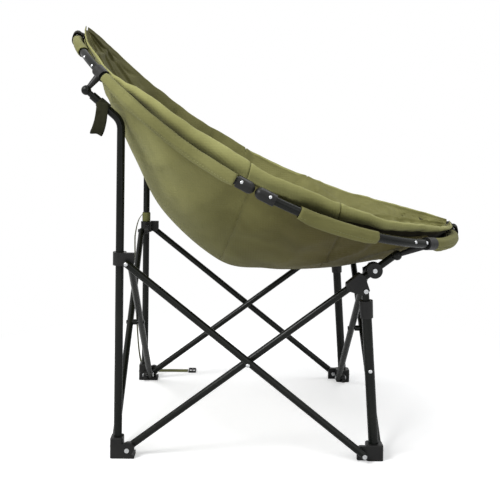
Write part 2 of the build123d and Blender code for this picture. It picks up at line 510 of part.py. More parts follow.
QUARTERS = {
    # tube span, knuckle spans (from, to, dome direction), sleeves, bracket angle
    "rear": ((3.1, 84.5), ((3.1, 6.2, -1), (81.6, 84.5, 1)), ((6.4, 24.0), (40.0, 81.2)), REAR_ARM),
    "front": ((87.5, 176.9), ((87.5, 91.0, -1), (173.4, 176.9, 1)), ((97.0, 118.0), (141.5, 173.0)), FRONT_ARM),
}
for end in ("rear", "front"):
    span, knuckles, sleeves, t_arm = QUARTERS[end]
    ball = REAR_BALL if end == "rear" else FRONT_BALL
    for side, s in SIDES:
        tag = f"{end}_{side}"
        with BuildPart() as ring_tube:
            steps = ring_steps(*span)
            with BuildLine() as tube_path:
                heading = ring_dir(steps[0], s)
                for t0, t1 in zip(steps, steps[1:]):
                    arc = TangentArc(ring(t0, s), ring(t1, s), tangent=heading)
                    heading = arc % 1
            with BuildSketch(Plane(origin=ring(steps[0], s), z_dir=ring_dir(steps[0], s))):
                Circle(RING_R)
            sweep(path=tube_path.line)
        ring_tube.part.label = f"ring_tube_{tag}"
        export_step(ring_tube.part, f"parts/ring_tube_{tag}.step")

        # plastic end sleeves with rounded ends where the quarters meet
        with BuildPart() as ring_knuckles:
            for t0, t1, way in knuckles:
                mid = ring((t0 + t1) / 2, s)
                length = (ring(t1, s) - ring(t0, s)).length
                tip = ring(t1 if way > 0 else t0, s)
                out = ring_dir(t1 if way > 0 else t0, s) * way
                with Locations(Plane(origin=tip, z_dir=-out)):
                    Cylinder(KNUCKLE_OUT, length, align=(Align.CENTER, Align.CENTER, Align.MIN))
                with Locations(tip):
                    Sphere(KNUCKLE_OUT)
            add(ring_tube.part, mode=Mode.SUBTRACT)
        ring_knuckles.part.label = f"ring_knuckles_{tag}"
        export_step(ring_knuckles.part, f"parts/ring_knuckles_{tag}.step")

        # clamp round the tube, arm and shallow cup over the ball
        centre = Vector(s * ball.X, ball.Y, ball.Z)
        hub = ring(t_arm, s)
        arm = hub - centre
        with BuildPart() as ring_bracket:
            with Locations(Plane(origin=hub, z_dir=ring_dir(t_arm, s))):
                Cylinder(14.0, 32.0)
            with Locations(Plane(origin=centre, z_dir=arm)):
                Cone(4.8, 9.5, arm.length, align=(Align.CENTER, Align.CENTER, Align.MIN))
            with Locations(centre):
                Sphere(CUP_R, mode=Mode.SUBTRACT)
            add(ring_tube.part, mode=Mode.SUBTRACT)
        ring_bracket.part.label = f"ring_bracket_{tag}"
        export_step(ring_bracket.part, f"parts/ring_bracket_{tag}.step")

        # fabric sleeves on the tube, each with a tab that carries the seat's edge
        with BuildPart() as bore:
            with BuildSketch(Plane(origin=ring(span[0], s), z_dir=ring_dir(span[0], s))):
                Circle(SLEEVE_IN)
            sweep(path=tube_path.line)
        with BuildPart() as ring_sleeves:
            for t0, t1 in sleeves:
                steps = ring_steps(t0, t1, 12.0)
                with BuildPart(mode=Mode.PRIVATE) as one:
                    with BuildLine() as sleeve_path:
                        heading = ring_dir(steps[0], s)
                        for u0, u1 in zip(steps, steps[1:]):
                            arc = TangentArc(ring(u0, s), ring(u1, s), tangent=heading)
                            heading = arc % 1
                    with BuildSketch(Plane(origin=ring(steps[0], s), z_dir=ring_dir(steps[0], s))):
                        Circle(SLEEVE_OUT)
                    sweep(path=sleeve_path.line)
                    for share in ((0.3, 0.7) if t1 - t0 > 25 else (0.5,)):
                        t_tab = t0 + (t1 - t0) * share
                        root = ring(t_tab, s)
                        inward = Vector(-root.X, -(root.Y - SHIFT_Y), 0).normalized()
                        rise = (inward * 0.42 + Vector(0, 0, 1)).normalized()
                        tangent = ring_dir(t_tab, s)
                        level = (tangent - rise * tangent.dot(rise)).normalized()
                        with Locations(Plane(origin=root, z_dir=rise, x_dir=level)):
                            Box(TAB_LONG, TAB_THICK, 0.93 * lift_at(t_tab), align=(Align.CENTER, Align.CENTER, Align.MIN))
                    for envelope in envelopes:
                        add(envelope, mode=Mode.SUBTRACT)
                add(one.part.solids().sort_by(SortBy.VOLUME)[-1])
            add(bore.part, mode=Mode.SUBTRACT)
        ring_sleeves.part.label = f"ring_sleeves_{tag}"
        export_step(ring_sleeves.part, f"parts/ring_sleeves_{tag}.step")

# ================= straps =================
# carry loop of webbing, wrapped round the right rear post's bent top with its end hanging down
right_ball = Vector(-REAR_BALL.X, REAR_BALL.Y, REAR_BALL.Z)
bend = Vector(-FOOT_X, REAR_Y, POST_BEND)
slope = (right_ball - bend).normalized()
wrap_at = bend + slope * 52.0
WEBBING = 2.2
with BuildPart() as carry_loop:
    with Locations(Plane(origin=wrap_at, z_dir=slope)):
        Cylinder(POST_R + GAP + WEBBING, 28.0)
    with BuildSketch(Plane(origin=wrap_at, z_dir=(0, 1, 0), x_dir=(1, 0, 0))):
        with Locations((-POST_R - GAP - WEBBING - 1.0, 26.0)):
            SlotOverall(60.0, 8.0, rotation=90)
            SlotOverall(60.0 - 2 * WEBBING, 8.0 - 2 * WEBBING, rotation=90, mode=Mode.SUBTRACT)
    extrude(amount=13.0, both=True)
    with Locations(Plane(origin=wrap_at, z_dir=slope)):
        Cylinder(POST_R + GAP, 60.0, mode=Mode.SUBTRACT)
carry_loop.part.label = "carry_loop"
export_step(carry_loop.part, "parts/carry_loop.step")

# closure strap: wrapped round the left post above its slider, hanging to the floor behind the foot
STRAP_W, STRAP_T = 25.0, 2.0
strap_points = [
    (FOOT_X + 2.0, REAR_Y + 27.0, 466.0), (FOOT_X + 18.0, REAR_Y + 34.0, 380.0),
    (FOOT_X + 48.0, REAR_Y + 33.0, 230.0), (FOOT_X + 66.0, REAR_Y + 29.0, 110.0),
    (FOOT_X + 74.0, REAR_Y + 21.0, 34.0),
]
BUCKLE_Y = REAR_Y - 132.0
with BuildPart() as closure_strap:
    with BuildSketch(Plane.XY.offset(450.0)):
        with Locations((FOOT_X, REAR_Y)):
            Circle(POST_R + GAP + WEBBING)
        with Locations((FOOT_X + 2.0, REAR_Y + 17.0)):
            Rectangle(22.0, 22.0)
    extrude(amount=25.0)
    with Locations((FOOT_X, REAR_Y, 460.0)):
        Cylinder(POST_R + GAP, 60.0, mode=Mode.SUBTRACT)
    with BuildPart(mode=Mode.PRIVATE) as hanging:
        for x, y, z in strap_points:
            with BuildSketch(Plane.XY.offset(z)):
                with Locations((x, y)):
                    Rectangle(STRAP_W, STRAP_T)
        loft()
    add(hanging.part)
    floor_x = strap_points[-1][0]
    with BuildSketch(Plane(origin=(floor_x, 0, 0), z_dir=(1, 0, 0), x_dir=(0, 1, 0))):
        with BuildLine() as floor_line:
            FilletPolyline((REAR_Y + 21.0, 34.0), (REAR_Y + 19.0, STRAP_T / 2), (BUCKLE_Y + 12.0, STRAP_T / 2),
                           radius=16.0)
            offset(amount=STRAP_T / 2)
        make_face()
    extrude(amount=STRAP_W / 2, both=True)
closure_strap.part.label = "closure_strap"
export_step(closure_strap.part, "parts/closure_strap.step")

with BuildPart() as strap_buckle:
    with Locations((strap_points[-1][0], BUCKLE_Y, 2.5)):
        Box(33.0, 22.0, 5.0)
    fillet(strap_buckle.edges().filter_by(Axis.Z), radius=3.0)
    with Locations((strap_points[-1][0], BUCKLE_Y - 5.0, 2.5), (strap_points[-1][0], BUCKLE_Y + 4.5, 2.5)):
        Box(26.0, 5.0, 8.0, mode=Mode.SUBTRACT)
    with Locations((strap_points[-1][0], BUCKLE_Y + 11.0, 1.0)):
        Box(26.0, 8.0, 2.2, mode=Mode.SUBTRACT)
strap_buckle.part.label = "strap_buckle"
export_step(strap_buckle.part, "parts/strap_buckle.step")
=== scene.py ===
# %% [markdown]
# A folding saucer chair: a padded bowl hangs in a tubular ring, and the ring stands on two bent rear
# posts, two telescoping front legs and eight crossed braces. The CAD model gives every hard piece its
# place, so this lesson is about finishes, about the soft bowl, and about small fittings.

# %% Load the fixed frame
import math
import bmesh
import bpy
from mathutils import Matrix, Vector, noise


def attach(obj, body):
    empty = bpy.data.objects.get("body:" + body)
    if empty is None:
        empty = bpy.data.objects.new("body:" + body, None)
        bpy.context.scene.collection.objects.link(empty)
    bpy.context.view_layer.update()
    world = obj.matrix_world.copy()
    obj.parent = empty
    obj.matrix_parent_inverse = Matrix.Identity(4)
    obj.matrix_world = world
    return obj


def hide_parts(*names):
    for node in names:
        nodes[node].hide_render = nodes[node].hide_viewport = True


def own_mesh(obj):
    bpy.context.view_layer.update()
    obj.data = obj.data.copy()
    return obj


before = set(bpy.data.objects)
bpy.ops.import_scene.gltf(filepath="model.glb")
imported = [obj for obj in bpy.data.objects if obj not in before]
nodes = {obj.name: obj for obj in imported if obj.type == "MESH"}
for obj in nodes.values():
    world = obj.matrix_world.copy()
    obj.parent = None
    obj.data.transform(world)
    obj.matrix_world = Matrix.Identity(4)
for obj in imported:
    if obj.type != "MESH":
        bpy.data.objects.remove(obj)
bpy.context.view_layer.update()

# %% [markdown]
# The photograph is taken square to the chair's right side, with verticals kept vertical, so the camera
# is level and its lens is shifted instead of tilted. Shift moves the picture without changing the
# perspective, which is how product photographers keep posts upright.

# %% Camera
PICTURE = 500.0                       # the photograph's side in pixels
SENSOR_MM = 36.0
FOCAL_PX = 826.0                      # focal length in the same pixels
AXIS_PX = (236.0, 119.0)              # where the optical axis meets the picture
CAMERA_AT = Vector((-2.090, 0.072, 0.744))
CAMERA_ROLL = 0.6                     # degrees

camera = bpy.data.objects.new("camera", bpy.data.cameras.new("camera"))
bpy.context.scene.collection.objects.link(camera)
camera.data.sensor_width = SENSOR_MM
camera.data.lens = FOCAL_PX * SENSOR_MM / PICTURE
camera.data.shift_x = (PICTURE / 2 - AXIS_PX[0]) / PICTURE
camera.data.shift_y = (AXIS_PX[1] - PICTURE / 2) / PICTURE
facing = Matrix.Rotation(math.radians(-90), 4, "Z") @ Matrix.Rotation(math.radians(90), 4, "X")
camera.matrix_world = Matrix.Translation(CAMERA_AT) @ facing @ Matrix.Rotation(math.radians(CAMERA_ROLL), 4, "Z")
bpy.context.scene.camera = camera
print("lens", round(camera.data.lens, 1), "mm")

# %% [markdown]
# A studio set: a pale floor, a white world and three soft lamps. The camera sees the world as plain
# white through Light Path, and the floor melts into that white away from the chair. The chair is lit by
# a weaker, slightly blue sky, so cloth keeps its colour and tubes still reflect something bright.

# %% World and floor
view_settings = bpy.context.scene.view_settings
view_settings.view_transform = "Standard"

world = bpy.data.worlds.new("studio")
bpy.context.scene.world = world
world.use_nodes = True
sky = world.node_tree
sky.nodes.clear()


def node(tree, kind, **values):
    """Add a shader node; keyword names are its properties, or its inputs when written in_Name."""
    new = tree.nodes.new(kind)
    for key, value in values.items():
        if key.startswith("in_"):
            new.inputs[key[3:].replace("_", " ")].default_value = value
        else:
            setattr(new, key, value)
    return new


sky_out = node(sky, "ShaderNodeOutputWorld")
lit = node(sky, "ShaderNodeBackground", in_Color=(0.95, 0.97, 1.0, 1), in_Strength=0.40)
seen = node(sky, "ShaderNodeBackground", in_Color=(1, 1, 1, 1), in_Strength=1.0)
ray = node(sky, "ShaderNodeLightPath")
either = node(sky, "ShaderNodeMath", operation="MAXIMUM")
either_too = node(sky, "ShaderNodeMath", operation="MAXIMUM")
pick = node(sky, "ShaderNodeMixShader")
sky.links.new(ray.outputs["Is Camera Ray"], either.inputs[0])
sky.links.new(ray.outputs["Is Glossy Ray"], either.inputs[1])
sky.links.new(either.outputs[0], either_too.inputs[0])
sky.links.new(ray.outputs["Is Transmission Ray"], either_too.inputs[1])
sky.links.new(either_too.outputs[0], pick.inputs[0])
sky.links.new(lit.outputs[0], pick.inputs[1])
sky.links.new(seen.outputs[0], pick.inputs[2])
sky.links.new(pick.outputs[0], sky_out.inputs["Surface"])

FLOOR_HALF = 12.0
floor_mesh = bpy.data.meshes.new("floor")
shape = bmesh.new()
bmesh.ops.create_grid(shape, x_segments=1, y_segments=1, size=FLOOR_HALF)
shape.to_mesh(floor_mesh)
shape.free()
floor = bpy.data.objects.new("floor", floor_mesh)
bpy.context.scene.collection.objects.link(floor)
floor_paint = bpy.data.materials.new("pale_floor")
floor_paint.use_nodes = True
tree = floor_paint.node_tree
tree.nodes.clear()
floor_out = node(tree, "ShaderNodeOutputMaterial")
matt = node(tree, "ShaderNodeBsdfDiffuse", in_Color=(0.93, 0.93, 0.93, 1))
glow = node(tree, "ShaderNodeEmission", in_Color=(1, 1, 1, 1), in_Strength=0.42)
both = node(tree, "ShaderNodeAddShader")
white = node(tree, "ShaderNodeEmission", in_Color=(1, 1, 1, 1), in_Strength=1.0)
ground = node(tree, "ShaderNodeTexCoord")
distance = node(tree, "ShaderNodeVectorMath", operation="LENGTH")
away = node(tree, "ShaderNodeMapRange", in_From_Min=0.62, in_From_Max=1.1)
melt = node(tree, "ShaderNodeMixShader")
plain = node(tree, "ShaderNodeMixShader")
eye = node(tree, "ShaderNodeLightPath")
tree.links.new(ground.outputs["Object"], distance.inputs[0])
tree.links.new(distance.outputs["Value"], away.inputs["Value"])
tree.links.new(away.outputs["Result"], melt.inputs[0])
tree.links.new(both.outputs[0], melt.inputs[1])
tree.links.new(white.outputs[0], melt.inputs[2])
tree.links.new(matt.outputs[0], both.inputs[0])
tree.links.new(glow.outputs[0], both.inputs[1])
tree.links.new(eye.outputs["Is Camera Ray"], plain.inputs[0])
tree.links.new(matt.outputs[0], plain.inputs[1])
tree.links.new(melt.outputs[0], plain.inputs[2])
tree.links.new(plain.outputs[0], floor_out.inputs["Surface"])
floor_mesh.materials.append(floor_paint)


def lamp(name, place, aim, size, power):
    data = bpy.data.lights.new(name, "AREA")
    data.size, data.energy = size, power
    made = bpy.data.objects.new(name, data)
    bpy.context.scene.collection.objects.link(made)
    turn = (Vector(aim) - Vector(place)).to_track_quat("-Z", "Y").to_matrix().to_4x4()
    made.matrix_world = Matrix.Translation(place) @ turn


SEAT_MIDDLE = (0.0, 0.0, 0.55)
lamp("key", (-1.5, 1.7, 2.4), SEAT_MIDDLE, 1.2, 62.0)
lamp("fill", (-2.4, -1.8, 1.3), SEAT_MIDDLE, 2.2, 12.0)
lamp("top", (0.4, -0.7, 2.8), SEAT_MIDDLE, 1.6, 30.0)
print("stage ready")

# %% [markdown]
# Powder-coated tube is nearly black with a green cast and a sharp highlight along it. A dark base under
# a clear coat gives the highlight; a fine noise in the roughness and a slight bump give the orange peel
# that sprayed paint shows close up, and a wide noise lets the tone drift.

# %% Finish for painted tube and for plastic


def finish(name, base, rough, metal=0.0, coat=0.0, sheen=0.0, specular=0.5):
    """A Principled material with constant gloss sockets; returns the material, its tree and shader."""
    made = bpy.data.materials.new(name)
    made.use_nodes = True
    body = made.node_tree.nodes["Principled BSDF"]
    body.inputs["Base Color"].default_value = (*base, 1)
    body.inputs["Roughness"].default_value = rough
    body.inputs["Metallic"].default_value = metal
    body.inputs["Coat Weight"].default_value = coat
    body.inputs["Coat Roughness"].default_value = 0.12
    body.inputs["Sheen Weight"].default_value = sheen
    body.inputs["Sheen Roughness"].default_value = 0.45
    body.inputs["Specular IOR Level"].default_value = specular
    return made, made.node_tree, body


def spread(tree, target, low, high, scale, detail=3.0):
    """Noise mapped between two colours (or greys) into a socket."""
    where = node(tree, "ShaderNodeTexCoord")
    cloud = node(tree, "ShaderNodeTexNoise", in_Scale=scale, in_Detail=detail)
    ramp = node(tree, "ShaderNodeValToRGB")
    ramp.color_ramp.elements[0].position, ramp.color_ramp.elements[1].position = 0.32, 0.70
    ramp.color_ramp.elements[0].color = (*low, 1) if len(low) == 3 else (low[0],) * 3 + (1,)
    ramp.color_ramp.elements[1].color = (*high, 1) if len(high) == 3 else (high[0],) * 3 + (1,)
    tree.links.new(where.outputs["Object"], cloud.inputs["Vector"])
    tree.links.new(cloud.outputs["Fac"], ramp.inputs["Fac"])
    tree.links.new(ramp.outputs["Color"], target)
    return cloud


def rough_bump(tree, body, scale, strength, distance):
    where = node(tree, "ShaderNodeTexCoord")
    grain = node(tree, "ShaderNodeTexNoise", in_Scale=scale, in_Detail=2.0)
    bump = node(tree, "ShaderNodeBump", in_Strength=strength, in_Distance=distance)
    tree.links.new(where.outputs["Object"], grain.inputs["Vector"])
    tree.links.new(grain.outputs["Fac"], bump.inputs["Height"])
    tree.links.new(bump.outputs["Normal"], body.inputs["Normal"])


tube_paint, tree, body = finish("tube_paint", (0.005, 0.006, 0.005), 0.26, coat=0.06, specular=0.16)
spread(tree, body.inputs["Base Color"], (0.004, 0.005, 0.004), (0.008, 0.009, 0.007), 14.0)
spread(tree, body.inputs["Roughness"], (0.22,), (0.34,), 60.0)
rough_bump(tree, body, 900.0, 0.08, 0.0004)

moulded, tree, body = finish("moulded_plastic", (0.008, 0.008, 0.008), 0.42, specular=0.28)
spread(tree, body.inputs["Base Color"], (0.006, 0.006, 0.006), (0.012, 0.012, 0.011), 22.0)
spread(tree, body.inputs["Roughness"], (0.34,), (0.52,), 130.0)
rough_bump(tree, body, 1500.0, 0.12, 0.0003)

steel, tree, body = finish("rivet_steel", (0.62, 0.63, 0.64), 0.28, metal=1.0)
spread(tree, body.inputs["Base Color"], (0.50, 0.51, 0.52), (0.74, 0.75, 0.76), 300.0)
spread(tree, body.inputs["Roughness"], (0.20,), (0.42,), 500.0)

# %% [markdown]
# The cover is a plain-woven polyester. Three crossed waves, 5.7 mm from crest to crest, stand for the
# weave, and a noise makes it lighter and darker in wide soft patches, as cloth is where it is rubbed.
# Sheen gives the pale edge that cloth shows at a grazing angle.

# %% Finish for cloth and webbing
WEAVE = 1100.0                        # radians per metre, so a wave each 5.7 mm
WAVE_UNIT = 20.0                      # radians that a wave texture turns per unit of its scale


def cloth(name, low, high, rough=0.82, weave=WEAVE, strength=0.35, sheen=0.06, shade=None):
    """Woven cloth. shade = (y where it starts, y where it is full, colour) is painted shade: it darkens the cloth along
    the chair.
    """
    made, tree, body = finish(name, low, rough, sheen=sheen, specular=0.12)
    patches_and_painted_shade = node(tree, "ShaderNodeMix", data_type="RGBA", blend_type="MULTIPLY")
    patches = spread(tree, patches_and_painted_shade.inputs[6], low, high, 7.0, 6.0)
    patches.inputs["Distortion"].default_value = 0.6
    patches_and_painted_shade.inputs[0].default_value = 0.0
    patches_and_painted_shade.inputs[7].default_value = (1, 1, 1, 1)
    if shade:
        place = node(tree, "ShaderNodeTexCoord")
        parts = node(tree, "ShaderNodeSeparateXYZ")
        along = node(tree, "ShaderNodeMapRange", in_From_Min=shade[0], in_From_Max=shade[1])
        tree.links.new(place.outputs["Object"], parts.inputs[0])
        tree.links.new(parts.outputs["Y"], along.inputs["Value"])
        tree.links.new(along.outputs["Result"], patches_and_painted_shade.inputs[0])
        patches_and_painted_shade.inputs[7].default_value = (*shade[2], 1)
    tree.links.new(patches_and_painted_shade.outputs[2], body.inputs["Base Color"])
    where = node(tree, "ShaderNodeTexCoord")
    previous = None
    for direction in ("X", "Y", "Z"):
        thread = node(tree, "ShaderNodeTexWave", bands_direction=direction, wave_profile="SIN",
                      in_Scale=weave / WAVE_UNIT)
        tree.links.new(where.outputs["Object"], thread.inputs["Vector"])
        if previous is None:
            previous = thread.outputs["Fac"]
            continue
        joined = node(tree, "ShaderNodeMath", operation="ADD")
        tree.links.new(previous, joined.inputs[0])
        tree.links.new(thread.outputs["Fac"], joined.inputs[1])
        previous = joined.outputs[0]
    bump = node(tree, "ShaderNodeBump", in_Strength=strength, in_Distance=0.0004)
    tree.links.new(previous, bump.inputs["Height"])
    tree.links.new(bump.outputs["Normal"], body.inputs["Normal"])
    return made


# the cover's underside is painted darker and browner towards the front, as painted shade
skin_cloth = cloth("cover_cloth", (0.160, 0.155, 0.054), (0.245, 0.240, 0.088),
                   shade=(0.26, -0.12, (0.38, 0.33, 0.28)))
# the pad is painted darker towards the rear, as painted shade on the inside of the back
pad_cloth = cloth("pad_cloth", (0.130, 0.125, 0.044), (0.215, 0.208, 0.078),
                  shade=(0.05, 0.40, (0.50, 0.49, 0.46)))
# a paler copy of the cloth for the pad's lip band: painted light where the lip catches the lamps
painted_light_rim_cloth = cloth("painted_light_rim_cloth", (0.240, 0.235, 0.088), (0.340, 0.335, 0.132))
# the sleeves are painted a little darker towards the front, as painted shade
sleeve_cloth = cloth("sleeve_cloth", (0.150, 0.147, 0.053), (0.225, 0.221, 0.085),
                     shade=(0.30, -0.30, (0.86, 0.84, 0.80)))
# a near-black copy of the cloth for the pad's underside: painted shade in the gap under the lip
painted_shade_underside_cloth = cloth("painted_shade_underside_cloth", (0.026, 0.022, 0.010), (0.052, 0.045, 0.020))
dark_cloth = cloth("dark_cloth", (0.007, 0.007, 0.005), (0.018, 0.018, 0.012))
piping_cloth = cloth("piping_cloth", (0.016, 0.015, 0.008), (0.038, 0.036, 0.018))
thread = cloth("sewing_thread", (0.20, 0.20, 0.09), (0.30, 0.30, 0.14))
dark_webbing = cloth("dark_webbing", (0.012, 0.012, 0.006), (0.034, 0.034, 0.016), weave=500.0, strength=0.6)
olive_webbing = cloth("olive_webbing", (0.085, 0.088, 0.030), (0.150, 0.152, 0.055), weave=500.0, strength=0.6)
print("finishes", len(bpy.data.materials))

# %% [markdown]
# Every hard CAD piece keeps its own mesh and only gets a finish. The piece's name says what it is made
# of, so one loop can dress them all.

# %% Dress the hard pieces
PLASTIC_WORDS = ("foot", "slider", "collar", "leg_plate", "clip", "knuckles", "bracket", "buckle")


def dress(obj, material):
    for held in obj.material_slots:
        held.material = material
    if not obj.material_slots:
        obj.data.materials.append(material)


for name, obj in nodes.items():
    if "pins" in name or "rivets" in name:
        dress(obj, steel)
    elif any(word in name for word in PLASTIC_WORDS):
        dress(obj, moulded)
    else:
        dress(obj, tube_paint)
print("dressed", len(nodes), "CAD pieces")

# %% [markdown]
# The ring is a saddle-shaped loop: high behind, low at the sides and level in front. A short cosine
# series describes its height all the way round. The bowl is measured off the same curve, at stations
# that each name a ring angle and the lowest point of the cloth on the middle plane.

# %% The ring and the bowl's stations
SIDES = (("right", -1.0), ("left", 1.0))
RING_X, RING_Y = 0.443, 0.467         # half width and half length of the ring


def ring(t, side):
    """Centre of the ring tube, t degrees from the rear centre; side is -1 on the sitter's right."""
    a = math.radians(t)
    height = 0.6431 + 0.2331 * math.cos(a) + 0.0576 * math.cos(2 * a) + 0.0030 * math.cos(3 * a)
    return Vector((side * RING_X * math.sin(a), RING_Y * math.cos(a), height))


def off_ends(t):
    """Keep a ring angle a degree away from the middle plane, where both sides meet."""
    return max(1.0, min(179.0, t))


# ring angle, lift of the padded rim above the tube, underside on the middle plane (y, z)
STATIONS = [
    (2.0, 0.034, 0.4555, 0.955), (6.0, 0.036, 0.446, 0.938), (22.0, 0.040, 0.412, 0.862),
    (40.0, 0.043, 0.372, 0.762), (57.0, 0.046, 0.318, 0.642), (72.0, 0.049, 0.247, 0.512),
    (85.0, 0.050, 0.110, 0.394), (96.0, 0.049, 0.0, 0.377), (108.0, 0.046, -0.120, 0.380),
    (124.0, 0.042, -0.240, 0.396), (142.0, 0.037, -0.345, 0.420), (158.0, 0.032, -0.412, 0.443),
    (173.0, 0.028, -0.446, 0.462), (177.5, 0.027, -0.452, 0.468),
]
LAST = len(STATIONS) - 1
SPANS = {"back": (0.0, 6.0), "base": (6.0, 8.0), "pan": (8.0, 13.0)}


def catmull_rom(a, b, c, d, f):
    """The value f of the way from b to c; a and d are their neighbours."""
    return 0.5 * (2 * b + (c - a) * f + (2 * a - 5 * b + 4 * c - d) * f * f + (3 * b - a - 3 * c + d) * f ** 3)


def station(v):
    """Smooth values between the stations."""
    k = min(int(v), LAST - 1)
    near = [STATIONS[max(0, min(LAST, k + d))] for d in (-1, 0, 1, 2)]
    return [catmull_rom(a, b, c, d, v - k) for a, b, c, d in zip(*near)]


def smooth(a, b, x):
    f = max(0.0, min(1.0, (x - a) / (b - a)))
    return f * f * (3 - 2 * f)


BARE = ((24.5, 39.5), (81.5, 96.5), (118.5, 141.0))   # stretches of the ring that the cover leaves open


def bare(t):
    """1 where the tube is exposed, 0 where a sleeve covers it."""
    return max(smooth(a - 3.0, a + 1.5, t) * (1 - smooth(b - 1.5, b + 3.0, t)) for a, b in BARE)


def slump(u, t):
    """On the right the padded rim has slipped down to the bare tube at the rear corner."""
    dip = smooth(3.0, 24.0, t) * (1 - smooth(40.0, 57.0, t))
    return 1.0 - 0.66 * dip * smooth(0.2, 0.8, -u)


BOWL_POWER = 2.2                      # how square the bowl's cross section is


def bowl(u, v, side_in, floor_in, rim_drop):
    """A point of the bowl: u across (-1 right, 1 left), v along the stations, offset inwards."""
    t, lift, y, z = station(v)
    t = off_ends(t)
    edge = ring(t, 1.0)
    low = Vector((0, y, z))
    inward = 0.016 * max(0.0, math.cos(math.radians(t))) ** 4
    up = Vector((0, edge.y - inward, edge.z + lift * slump(u, t) - rim_drop)) - low
    reach = edge.x - min(side_in, 0.42 * edge.x)
    floor = min(floor_in, 0.5 * up.length)
    climb = floor + (up.length - floor) * abs(u) ** BOWL_POWER
    return low + Vector((u * reach, 0, 0)) + up.normalized() * climb


print("bowl depth at the middle", round(ring(90, 1).z + 0.05 - station(7.0)[3], 3), "m")

# %% [markdown]
# The cover's underside is one stretched skin per section. It leaves the sleeves just inside the ring,
# so its edge follows the tube and steps inwards where the tube is bare. A grid is the natural start:
# bmesh makes it, and each vertex is moved onto the bowl. Long soft folds run from the rim to the
# lowest point, where the cloth is pulled tightest, so they are added outwards and down.

# %% Helpers for sheets and pads


def publish(shape, name, material, body_name):
    """Turn a bmesh into an object that rides on a CAD body."""
    mesh = bpy.data.meshes.new(name)
    for face in shape.faces:
        face.smooth = True
    shape.to_mesh(mesh)
    shape.free()
    obj = bpy.data.objects.new(name, mesh)
    bpy.context.scene.collection.objects.link(obj)
    mesh.materials.append(material)
    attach(obj, body_name)
    return obj


def fold_noise(p, wide, fine):
    """Soft cloth folds: stretched noise, a few millimetres high."""
    big = noise.noise(Vector((p.x * 5.0, p.y * 3.2 + 3.1, p.z * 4.0)))
    small = noise.noise(Vector((p.x * 17.0 + 4.0, p.y * 9.0, p.z * 14.0)))
    return wide * big + fine * small


SKIN_T = 0.0022
bodies_of = {"back": "seat_back", "base": "seat", "pan": "seat_pan"}


def skin_point(u, v):
    """Underside of the cover, hung from the inner side of the ring."""
    t = off_ends(station(v)[0])
    edge = ring(t, 1.0)
    open_here = bare(t)
    _, lift, y, z = station(v)
    low = Vector((0, y, z))
    up = Vector((0, edge.y, edge.z)) - low
    covered = -0.013 * smooth(12.0, 40.0, t) * (1 - smooth(128.0, 150.0, t))
    up += Vector((0, 0, covered + 0.006 + 0.014 * open_here))
    reach = edge.x - min(0.012 + 0.018 * open_here, 0.45 * edge.x)
    inward = Vector((0, -edge.y, 0)) * (0.034 * min(1.0, abs(edge.y) / RING_Y) ** 3)
    place = low + Vector((u * reach, 0, 0)) + up * abs(u) ** 2.05 + inward * abs(u) ** 3
    share = abs(u)
    slant = t + 26.0 * (1 - share)
    calm = smooth(0.05, 0.26, edge.x) * smooth(16.0, 44.0, t) * (1 - smooth(128.0, 150.0, t))
    pleat = max(0.0, 1 - abs(noise.noise(Vector((slant * 0.085, 1.3 * u, 5.0)))) / 0.22) ** 1.4
    pull = max(0.0, 1 - abs(noise.noise(Vector((slant * 0.22, 0.8 * u, 8.0)))) / 0.20) ** 1.4
    ripple = (0.0070 * pleat + 0.0036 * pull) * smooth(0.30, 0.65, share) * (1 - smooth(0.84, 1.0, share)) * calm
    flank = smooth(0.2, 0.6, share) * (1 - smooth(0.9, 1.0, share))
    drop = 0.0005 + fold_noise(place, 0.007, 0.0025) * flank * calm
    out = Vector((u * 0.8, place.y * 0.4, -0.8)).normalized()
    return place + out * (ripple + drop)


def make_skin(span):
    first, last = SPANS[span]
    rows = int((last - first) * 12)
    shape = bmesh.new()
    bmesh.ops.create_grid(shape, x_segments=64, y_segments=rows, size=1.0)
    for vert in shape.verts:
        u, w = vert.co.x, (vert.co.y + 1) / 2
        vert.co = skin_point(u, first + (last - first) * w)
    bmesh.ops.recalc_face_normals(shape, faces=shape.faces)
    skin = publish(shape, f"cover_{span}", skin_cloth, bodies_of[span])
    thick = skin.modifiers.new("thickness", "SOLIDIFY")
    thick.thickness, thick.offset = SKIN_T, 0.0
    return skin


def cut_size(span):
    """Flat width and length of a section: its longest arc across and its longest arc along."""
    first, last = SPANS[span]
    grid = [[skin_point(-1 + i / 20, first + (last - first) * j / 40) for i in range(41)] for j in range(41)]
    widths = [sum((row[i + 1] - row[i]).length for i in range(40)) for row in grid]
    lengths = [sum((grid[j + 1][i] - grid[j][i]).length for j in range(40)) for i in range(41)]
    return max(widths), max(lengths)


skins = {}
for span in SPANS:
    skin = make_skin(span)
    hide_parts(f"seat_{span}_shell")
    wide, long = cut_size(span)
    skins[span] = skin

# %% [markdown]
# Inside the skin lies the quilted pad, which shows as a thick lip above the ring, painted paler as light. A box
# with many cuts is bent onto the bowl: its bottom follows the skin, its top is crowned, and the thickness falls
# to a rounded lip at the rim. Below the lip the side turns in sharply, so a gap opens over the ring that falls into
# shadow, and the underside there is also painted dark as shade.

# %% The shape of the pads
PAD_MID, PAD_LIP = 0.034, 0.019
CHANNEL_DEPTH = 0.010
LIP_BAND = 0.074                       # share of the half width that belongs to the lip


def channel(u, v):
    """Depth share of the sewn channels: arcs along the bowl and cross seams between stations."""
    depth = 0.0
    for seam in (-0.72, -0.34, 0.34, 0.72):
        depth = max(depth, math.exp(-((u - seam) / 0.016) ** 2))
    for seam in (2.0, 4.0, 6.0, 8.0, 10.0):
        depth = max(depth, 0.9 * math.exp(-((v - seam) / 0.055) ** 2))
    return depth


